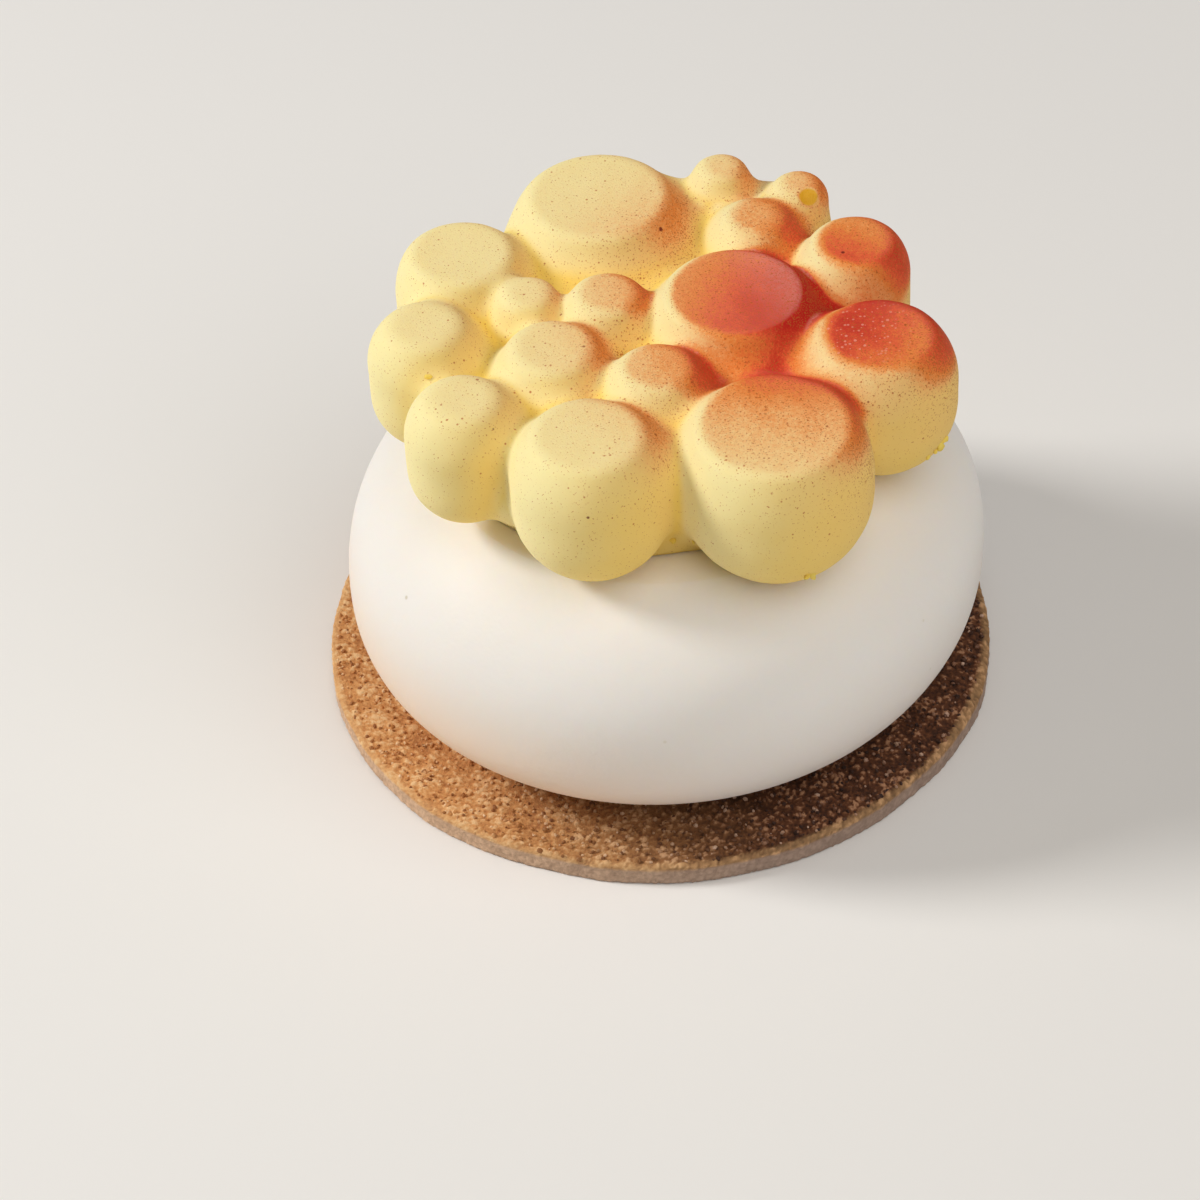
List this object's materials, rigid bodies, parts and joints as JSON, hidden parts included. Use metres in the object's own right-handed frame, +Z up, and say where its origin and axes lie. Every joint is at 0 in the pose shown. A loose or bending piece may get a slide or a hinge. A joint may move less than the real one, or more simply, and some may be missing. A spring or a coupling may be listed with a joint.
{
  "type": "moulded cheesecake",
  "caption": "Individual round cheesecake: a smooth white stone-shaped body on a thin biscuit disc, under a moulded cluster of flat-topped bubbles sprayed yellow and red.",
  "frame": {"origin": "centre of the biscuit's underside", "axes": "+Z up, from the biscuit to the bubbles; +X and +Y across; the side that the picture shows faces -Y"},
  "size_m": [0.07, 0.07, 0.047],
  "materials": {
    "biscuit": "baked biscuit: dry, coarse and granular, dark brown with pale sugar grains",
    "white_cream": "smooth set cream, ivory white with a soft satin gloss",
    "yellow_velvet": "matt velvet spray, pale yellow with an orange-red blush from one side and fine brown specks"
  },
  "bodies": {
    "root": {"biscuit_base": "biscuit", "white_body": "white_cream", "bubble_topper": "yellow_velvet"}
  },
  "joints": []
}
